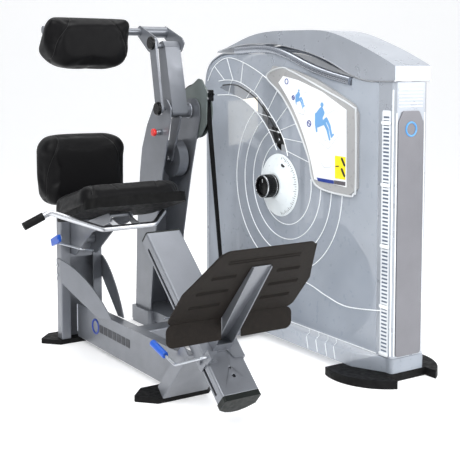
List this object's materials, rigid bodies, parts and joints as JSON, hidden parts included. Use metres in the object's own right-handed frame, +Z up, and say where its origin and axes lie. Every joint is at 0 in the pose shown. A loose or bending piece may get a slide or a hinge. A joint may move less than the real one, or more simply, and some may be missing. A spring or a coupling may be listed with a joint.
{
  "type": "back extension machine",
  "caption": "Selectorised seated back-extension machine: weight tower beside a seat, lumbar pad, sloping foot plate and a lever arm with a rolling upper-back pad.",
  "frame": {"origin": "on the floor face of the weight tower's near foot", "axes": "+Z up, the user faces -Y, +X from the seat towards the tower"},
  "size_m": [1.5768, 1.8394, 1.523],
  "materials": {
    "frame_silver": "satin metallic",
    "cap_silver": "satin metallic",
    "trim_grey": "moulded",
    "frosted_clear": "frosted translucent",
    "black_plastic": "moulded",
    "black_rubber": "matt",
    "vinyl_black": "fine grain",
    "card_white": "printed card",
    "dial_white": "moulded",
    "steel_dark": "black coated",
    "steel_bright": "polished",
    "tube_silver": "satin",
    "blue_plastic": "moulded",
    "red_plastic": "moulded",
    "olive_grey": "satin",
    "tread_black": "textured powder coat",
    "pulley_black": "moulded"
  },
  "bodies": {
    "root": {"tower_base": "frosted_clear", "tower_feet": "black_rubber", "near_column": "cap_silver", "far_column": "cap_silver", "column_trim": "trim_grey", "vent_strip": "frosted_clear", "user_shroud": "frosted_clear", "wall_shroud": "frosted_clear", "tower_cap": "cap_silver", "top_rail": "frame_silver", "placard_holder": "frosted_clear", "placard_card": "card_white", "dial_disc": "dial_white", "tower_frame": "frame_silver", "guide_rods": "steel_bright", "stack_cushions": "black_rubber", "weight_stack": "steel_dark", "pulley_brackets": "frame_silver", "drive_belt": "black_rubber", "cross_beam": "frame_silver", "main_beam": "frame_silver", "seat_post": "frame_silver", "post_gussets": "frame_silver", "front_leg": "frame_silver", "foot_rail": "frame_silver", "rail_caps": "black_plastic", "floor_pads": "black_rubber", "upright_foot": "frame_silver", "upright_shell": "frame_silver", "frame_bolts": "steel_bright"},
    "dial": {"dial_knob": "black_plastic"},
    "weights": {"lifted_weights": "steel_dark"},
    "lower_pulley": {"lower_pulley": "pulley_black"},
    "inner_pulley": {"inner_pulley": "pulley_black"},
    "top_pulley_near": {"top_pulley_near": "pulley_black"},
    "top_pulley_far": {"top_pulley_far": "pulley_black"},
    "arm": {"movement_arm": "frame_silver", "pivot_shaft": "tube_silver", "arm_cam": "olive_grey", "cam_lining": "black_rubber", "belt_clamp": "black_plastic", "counterweight": "frame_silver"},
    "link": {"parallel_link": "frame_silver", "link_caps": "black_plastic"},
    "bracket": {"pad_bracket": "frame_silver"},
    "upper_pad": {"pad_frame": "frame_silver", "upper_cushion": "vinyl_black"},
    "seat": {"seat_carriage": "frame_silver", "seat_pan": "black_plastic", "seat_cushion": "vinyl_black", "lumbar_bracket": "frame_silver", "lumbar_cushion": "vinyl_black", "handle_bar": "tube_silver", "hand_grip": "black_rubber"},
    "seat_lever": {"seat_lever": "blue_plastic"},
    "foot": {"foot_carriage": "frame_silver", "foot_channel": "frame_silver", "foot_plate": "tread_black"},
    "foot_lever": {"foot_lever": "blue_plastic"},
    "start_pin": {"start_pin": "red_plastic"}
  },
  "joints": [
    {"name": "arm_swing", "type": "hinge", "parent": "root", "child": "arm", "pos_m": [-0.406, 1.112, 1.093], "axis": [-1, 0, 0], "range_deg": [0, 55]},
    {"name": "link_swing", "type": "hinge", "parent": "root", "child": "link", "pos_m": [-0.519, 1.07, 1.107], "axis": [-1, 0, 0], "range_deg": [0, 55]},
    {"name": "bracket_level", "type": "hinge", "parent": "arm", "child": "bracket", "pos_m": [-0.406, 1.174, 1.408], "axis": [-1, 0, 0], "range_deg": [-55, 0]},
    {"name": "upper_pad_roll", "type": "hinge", "parent": "bracket", "child": "upper_pad", "pos_m": [-0.576, 1.29, 1.48], "axis": [-1, 0, 0], "range_deg": [-12, 12]},
    {"name": "weight_lift", "type": "slide", "parent": "root", "child": "weights", "axis": [0, 0, 1], "range_m": [0, 0.125]},
    {"name": "lower_pulley_spin", "type": "hinge", "parent": "root", "child": "lower_pulley", "pos_m": [-0.2551, 0.84, 0.17], "axis": [0, 1, 0], "range_deg": [0, 180]},
    {"name": "inner_pulley_spin", "type": "hinge", "parent": "root", "child": "inner_pulley", "pos_m": [-0.0179, 0.84, 0.17], "axis": [0, 1, 0], "range_deg": [0, 180]},
    {"name": "top_far_pulley_spin", "type": "hinge", "parent": "root", "child": "top_pulley_far", "pos_m": [0.024, 0.7961, 1.18], "axis": [1, 0, 0], "range_deg": [-165, 0]},
    {"name": "top_near_pulley_spin", "type": "hinge", "parent": "root", "child": "top_pulley_near", "pos_m": [0.024, 0.6939, 1.18], "axis": [1, 0, 0], "range_deg": [-165, 0]},
    {"name": "weight_dial_turn", "type": "hinge", "parent": "root", "child": "dial", "pos_m": [-0.106, 0.71, 0.745], "axis": [-1, 0, 0], "continuous": true},
    {"name": "seat_height", "type": "slide", "parent": "root", "child": "seat", "axis": [0, 0, 1], "range_m": [-0.03, 0.08]},
    {"name": "seat_lever_lift", "type": "hinge", "parent": "seat", "child": "seat_lever", "pos_m": [-1.021, 1.13, 0.52], "axis": [1, 0, 0], "range_deg": [0, 12]},
    {"name": "foot_plate_slide", "type": "slide", "parent": "root", "child": "foot", "axis": [0, 0.749, 0.6626], "range_m": [-0.04, 0.26]},
    {"name": "foot_lever_lift", "type": "hinge", "parent": "foot", "child": "foot_lever", "pos_m": [-0.969, -0.095, 0.262], "axis": [-1, 0, 0], "range_deg": [-12, 0]},
    {"name": "start_pin_pull", "type": "slide", "parent": "root", "child": "start_pin", "axis": [-1, 0, 0], "range_m": [0, 0.012]}
  ],
  "couplings": [
    {"joint": "link_swing", "follows": "arm_swing", "ratio": 1},
    {"joint": "bracket_level", "follows": "arm_swing", "ratio": -1},
    {"joint": "weight_lift", "follows": "arm_swing", "m_per_rad": 0.1295},
    {"joint": "lower_pulley_spin", "follows": "arm_swing", "ratio": 3.0907},
    {"joint": "inner_pulley_spin", "follows": "arm_swing", "ratio": 3.0907},
    {"joint": "top_far_pulley_spin", "follows": "arm_swing", "ratio": -2.9499},
    {"joint": "top_near_pulley_spin", "follows": "arm_swing", "ratio": -2.9499}
  ]
}
